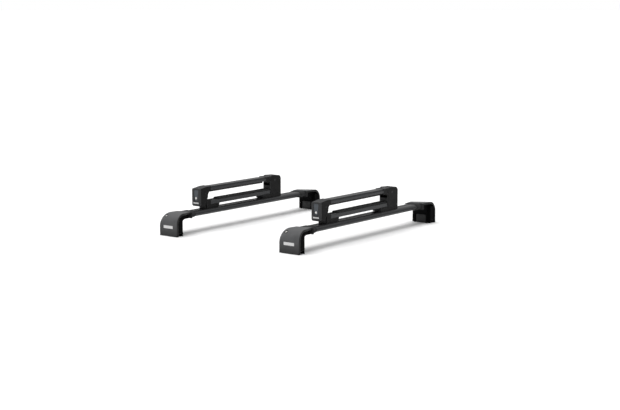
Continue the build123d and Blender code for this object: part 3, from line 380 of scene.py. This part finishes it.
def extrusion(work, sections, place, start, end):
    """Add a bar along Y from 2-D loops in X and Z: the first is its outline, the rest are hollows."""
    for_ends = {start: [], end: []}
    for section in sections:
        rows = []
        for y in (start, end):
            row = [work.verts.new((place[0] + x, y, place[1] + z)) for x, z in section]
            for i, corner in enumerate(row):
                for_ends[y].append(work.edges.new((corner, row[(i + 1) % len(row)])))
            rows.append(row)
        for i, corner in enumerate(rows[0]):
            j = (i + 1) % len(rows[0])
            work.faces.new((corner, rows[0][j], rows[1][j], rows[1][i]))
    for edges in for_ends.values():
        bmesh.ops.triangle_fill(work, edges=edges, use_beauty=True)


def circle(radius, count, centre=(0.0, 0.0), start=0.0):
    """Points round a circle."""
    turns = [start + 2 * math.pi * i / count for i in range(count)]
    return [(centre[0] + radius * math.cos(t), centre[1] + radius * math.sin(t)) for t in turns]


def rounded_rectangle(half_width, half_height, corner, steps=5):
    """Points round a rectangle with round corners."""
    points = []
    for quarter, (sx, sz) in enumerate(((1, 1), (-1, 1), (-1, -1), (1, -1))):
        for i in range(steps + 1):
            t = math.pi / 2 * (quarter + i / steps)
            x = sx * (half_width - corner) + corner * math.cos(t)
            points.append((x, sz * (half_height - corner) + corner * math.sin(t)))
    return points


def surface_of(node):
    """Search tree over a CAD node's surface."""
    mesh = frame["nodes"][node].data
    return BVHTree.FromPolygons([v.co for v in mesh.vertices], [p.vertices for p in mesh.polygons])


def laid_on(tree, centre, right, inward, outline, steps):
    """Loops of an outline wrapped onto a surface: each step is a share of its size and a lift."""
    up = inward.cross(right)
    loops = []
    for share, lift in steps:
        loop = []
        for a, b in outline:
            start = centre + right * (a * share) + up * (b * share) - inward * 0.05
            spot = tree.ray_cast(start, inward)[0]
            loop.append(spot - inward * lift)
        loops.append(loop)
    return loops


# Rubber pads of the carriers: piped extrusions with a hollow in each lobe


def pad_section(half, height, rise, lobes, hollow, turn):
    """Outline and hollows in millimetres, about the pad's seat; turn is 1 upwards and -1 downwards."""
    neck, foot = 12.8, 15.8
    outline = [(half, 0), (neck, 0), (neck, -1.7), (foot, -1.7), (foot, -5.3)]
    outline += [(-x, z) for x, z in reversed(outline)]
    width = 2 * half / lobes
    hollows = []
    steps = 10
    for lobe in range(lobes):
        centre = (lobe + 0.5) * width - half
        for i in range(steps if lobe < lobes - 1 else steps + 1):
            t = math.pi * (1 - i / steps)
            outline.append((centre + width / 2 * math.cos(t), height - rise + rise * math.sin(t)))
        hollows.append(circle(hollow, 12, (centre, height - rise)))
    return [[(x * MM, turn * z * MM) for x, z in loop] for loop in [outline] + hollows]


def make_pads(bar, x):
    base_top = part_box(f"{bar}_base_rail")[1].z
    arm_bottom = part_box(f"{bar}_arm_rail")[0].z
    for node, body, seat, section in (
        ("base_pad", "rack", base_top, pad_section(19.0, 7.0, 3.0, 5, 1.8, 1)),
        ("arm_pad", f"{bar}_arm", arm_bottom, pad_section(19.0, 10.0, 5.0, 3, 3.2, -1)),
    ):
        low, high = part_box(f"{bar}_{node}")
        work = bmesh.new()
        extrusion(work, section, (x, seat), low.y, high.y)
        pad = build(f"{bar}_{node}_piped", work, body, "rubber", PAD_RUBBER, crease=50)
        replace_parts(pad, f"{bar}_{node}")


def make_rail_beds():
    """Ribbed rubber beds of the four rail channels."""
    node = "rail_pads"
    low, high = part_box(node)
    half_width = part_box("front_near_foot_body")[1].x - BARS["front"] - 2 * MM
    bed_low, bed_top, lip, depth = 14 * MM, high.z, 2 * MM, 29.9 * MM
    rib = 0.9 * MM
    profile = ((0.0, rib), (0.18, rib), (0.32, 0.0), (0.68, 0.0), (0.82, rib))
    work = bmesh.new()
    count = 20
    pitch = 2 * half_width / count
    for x, turn in FEET.values():
        wall = turn * low.y
        comb = [(half_width, bed_top), (-half_width, bed_top)]
        for i in range(count):
            edge = i * pitch - half_width
            for along, z in profile:
                comb.append((edge + along * pitch, bed_low + z))
        comb.append((half_width, bed_low + rib))
        skin(work, [[(x + a, wall + turn * y, z) for a, z in comb] for y in (0.0, depth)])
        side = [(0.0, bed_low), (lip, bed_low), (lip, 3 * MM), (0.4 * lip, low.z), (0.0, low.z)]
        skin(work, [[(x + a, wall + turn * y, z) for y, z in side] for a in (-half_width, half_width)])
    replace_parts(build("rail_pads_ribbed", work, "rack", "rubber", MATERIALS["rubber"]), node)


# Button springs: wound wire


def make_spring(bar):
    low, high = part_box(f"{bar}_button_spring")
    axis = (low + high) / 2
    wire = 0.55 * MM
    coil = (high.x - low.x) / 2 - wire
    length = high.y - low.y - 2 * wire
    turns, per_turn = 7, 22
    loops = []
    for i in range(turns * per_turn + 1):
        part = i / (turns * per_turn)
        eased = part - 0.7 * math.sin(2 * math.pi * part) / (2 * math.pi)
        angle = 2 * math.pi * turns * part
        out = Vector((math.cos(angle), 0, math.sin(angle)))
        centre = Vector((axis.x, low.y + wire + length * eased, axis.z)) + out * coil
        loops.append([centre + out * a + Vector((0, b, 0)) for a, b in circle(wire, 8)])
    work = bmesh.new()
    skin(work, loops)
    spring = build(f"{bar}_button_spring_coil", work, f"{bar}_arm", "zinc_steel", None, crease=60)
    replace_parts(spring, f"{bar}_button_spring")
    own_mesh(spring)


# Plain strips where makers put their names


def make_badge(foot, x, turn):
    tree = surface_of(f"{foot}_foot_cover")
    right, inward = Vector((turn, 0, 0)), Vector((0, turn, 0))
    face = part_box(f"{foot}_foot_cover")[0 if turn > 0 else 1].y
    centre = Vector((x, face, BADGE_HEIGHT))
    rim = ((1.0, -0.3 * MM), (1.0, 0.25 * MM))
    steps = rim + tuple((share, 0.4 * MM) for share in (0.985, 0.7, 0.35, 0.05))
    work = bmesh.new()
    outline = rounded_rectangle(*BADGE_STRIP)
    skin(work, laid_on(tree, centre, right, inward, outline, steps))
    build(f"{foot}_badge", work, f"{foot}_cover", "lock_metal", BADGE)


def make_label(bar, x):
    """Film in the shallow panel under the button."""
    outline = rounded_rectangle(*LABEL_STRIP)
    work = bmesh.new()
    loops = []
    for share, depth in ((1.0, 0.9 * MM), (1.0, 0.4 * MM), (0.98, 0.3 * MM)):
        loops.append([(x + a * share, CAP_FACE + depth, LABEL_HEIGHT + b * share) for a, b in outline])
    skin(work, loops)
    build(f"{bar}_label", work, f"{bar}_arm", "bezel_plastic", LABEL)


# Seals, lock surrounds and screws


def make_seal(foot, turn):
    """Rubber lip that closes the collar's mouth round the bar."""
    corners = [v.co for v in frame["nodes"][foot.split("_")[0] + "_crossbar"].data.vertices]
    end = min(v.y for v in corners)
    flat = [Vector((v.x, v.z)) for v in corners if v.y < end + 0.1 * MM]
    outline = [flat[i] for i in convex_hull_2d(flat)]
    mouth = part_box(f"{foot}_foot_body")[1 if turn > 0 else 0].y
    middle = sum(outline, Vector((0, 0))) / len(outline)
    lip = ((0.15, 0.0), (1.3, 0.0), (2.3, 0.4), (2.4, 1.2), (1.2, 3.2), (0.15, 4.6))
    work = bmesh.new()
    loops = []
    for out, along in lip:
        loop = []
        for i, point in enumerate(outline):
            edge = outline[(i + 1) % len(outline)] - outline[i - 1]
            normal = Vector((edge.y, -edge.x)).normalized()
            if normal.dot(point - middle) < 0:
                normal.negate()
            spot = point + normal * out * MM
            loop.append((spot.x, mouth + turn * along * MM, spot.y))
        loops.append(loop)
    skin(work, loops, caps=(False, False), ring=True)
    build(f"{foot}_collar_seal", work, "rack", "rubber", None, crease=50)


def make_lock_ring(foot):
    """Black surround pressed into the cover round the foot lock."""
    joint = JOINTS[f"{foot}_lock_turn"]
    inward = -Vector(joint["axis"])
    right = Vector((1, 0, 0))
    tree = surface_of(f"{foot}_foot_cover")
    centre = Vector(joint["pos_m"])
    steps = ((1.0, -0.4 * MM), (1.0, 0.3 * MM), (0.95, 0.6 * MM), (0.72, 0.6 * MM))
    loops = laid_on(tree, centre, right, inward, circle(RING_RADIUS, 40), steps)
    # The inner lip laps over the rim of the lock, and cuts slightly into it
    loops.append([centre + (spot - centre) * 0.86 for spot in loops[-1]])
    loops.append([spot + inward * 0.8 * MM for spot in loops[-1]])
    work = bmesh.new()
    skin(work, loops, caps=(False, False), ring=True)
    build(f"{foot}_lock_ring", work, f"{foot}_cover", "foot_plastic", None)


def make_screw(name, body, head, outward, radius):
    """Domed screw head with a six-lobed recess, facing outward from its seat."""
    right = outward.orthogonal().normalized()
    up = outward.cross(right)
    count = 36
    loops = []
    for share, lift in ((1.0, -0.5), (1.0, 0.0), (0.94, 0.5), (0.78, 0.8), (0.56, 0.9)):
        loops.append([(a * share, b * share, lift * MM) for a, b in circle(radius, count)])
    for scale, lift in ((1.0, 0.9), (0.92, -0.3)):
        star = []
        for i in range(count):
            t = 2 * math.pi * i / count
            reach = radius * scale * (0.42 + 0.07 * math.cos(6 * t))
            star.append((reach * math.cos(t), reach * math.sin(t), lift * MM))
        loops.append(star)
    work = bmesh.new()
    skin(work, [[head + right * a + up * b + outward * c for a, b, c in loop] for loop in loops])
    build(name, work, body, "black_steel", None)


def make_screws(bar):
    """Two screws that hold the arm in its cap and two that hold it in its knuckle, from behind."""
    rear = Vector((-1, 0, 0))
    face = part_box(f"{bar}_lock_housing")[0].x
    for piece, places in SCREW_PLACES.items():
        for number, along in enumerate(places, start=1):
            head = Vector((face, CAP_FACE + along * MM, SCREW_HEIGHT))
            make_screw(f"{bar}_{piece}_screw_{number}", f"{bar}_arm", head, rear, SCREW_RADIUS)


for bar, bar_x in BARS.items():
    make_pads(bar, bar_x)
    make_spring(bar)
    make_label(bar, bar_x)
    make_screws(bar)
for foot, (foot_x, foot_turn) in FEET.items():
    make_badge(foot, foot_x, foot_turn)
    make_seal(foot, foot_turn)
    make_lock_ring(foot)
make_rail_beds()


# Stage, lights and camera


def matt(name, colour):
    s = Shader(name)
    s.put("Base Color", s.mix(s.noise(3), tuple(c * 0.995 for c in colour), colour))
    s.put("Roughness", 0.9)
    s.put("Specular IOR Level", 0.1)
    return s.material


def make_floor():
    mesh = bpy.data.meshes.new("floor")
    corners = [(a * FLOOR_REACH, b * FLOOR_REACH, 0) for a, b in ((-1, -1), (1, -1), (1, 1), (-1, 1))]
    mesh.from_pydata(corners, [], [(0, 1, 2, 3)])
    floor = bpy.data.objects.new("floor", mesh)
    floor.data.materials.append(matt("floor_paper", (0.88, 0.88, 0.88)))
    bpy.context.collection.objects.link(floor)


def make_sun(name, towards, angle, strength):
    """Wide, even overhead light, so that the floor is as pale far away as it is near."""
    data = bpy.data.lights.new(name, "SUN")
    data.angle = math.radians(angle)
    data.energy = strength
    light = bpy.data.objects.new(name, data)
    light.rotation_mode = "QUATERNION"
    light.rotation_quaternion = Vector(towards).to_track_quat("-Z", "Y")
    bpy.context.collection.objects.link(light)


def make_camera():
    """Low three-quarter view from the front of the lock side, through a long lens."""
    azimuth, elevation = math.radians(CAMERA_AZIMUTH), math.radians(CAMERA_ELEVATION)
    data = bpy.data.cameras.new("camera")
    data.lens = CAMERA_LENS
    camera = bpy.data.objects.new("camera", data)
    camera.location = CAMERA_PLACE
    camera.rotation_mode = "QUATERNION"
    level = math.cos(elevation)
    ahead = Vector((-math.sin(azimuth) * level, math.cos(azimuth) * level, -math.sin(elevation)))
    camera.rotation_quaternion = ahead.to_track_quat("-Z", "Y")
    bpy.context.collection.objects.link(camera)
    bpy.context.scene.camera = camera


def make_world():
    """Studio that looks white, and lights the rack from above more than from its front and sides."""
    world = bpy.data.worlds.new("studio")
    world.use_nodes = True
    tree = world.node_tree
    background = tree.nodes["Background"]
    place = tree.nodes.new("ShaderNodeTexCoord").outputs["Generated"]
    split = tree.nodes.new("ShaderNodeSeparateXYZ")
    tree.links.new(place, split.inputs["Vector"])
    levels = []
    for axis, low, high, start, end in (("Z", 0.0, 0.8, 0.35, 1.0), ("X", 0.2, 0.9, 1.0, 0.25)):
        node = tree.nodes.new("ShaderNodeMapRange")
        node.inputs["From Min"].default_value = low
        node.inputs["From Max"].default_value = high
        node.inputs["To Min"].default_value = start
        node.inputs["To Max"].default_value = end
        tree.links.new(split.outputs[axis], node.inputs["Value"])
        levels.append(node.outputs["Result"])
    product = tree.nodes.new("ShaderNodeMath")
    product.operation = "MULTIPLY"
    for level, socket in zip(levels, product.inputs):
        tree.links.new(level, socket)
    seen = tree.nodes.new("ShaderNodeLightPath").outputs["Is Camera Ray"]
    strength = tree.nodes.new("ShaderNodeMix")
    tree.links.new(seen, strength.inputs["Factor"])
    tree.links.new(product.outputs["Value"], strength.inputs["A"])
    strength.inputs["B"].default_value = 1.0
    tree.links.new(strength.outputs["Result"], background.inputs["Strength"])
    background.inputs["Color"].default_value = (1.0, 1.0, 1.0, 1.0)
    bpy.context.scene.world = world


make_floor()
make_world()
make_sun("top_light", (0.1, 0.25, -1.0), 60, 2.2)
make_camera()
bpy.context.scene.view_settings.view_transform = "Standard"
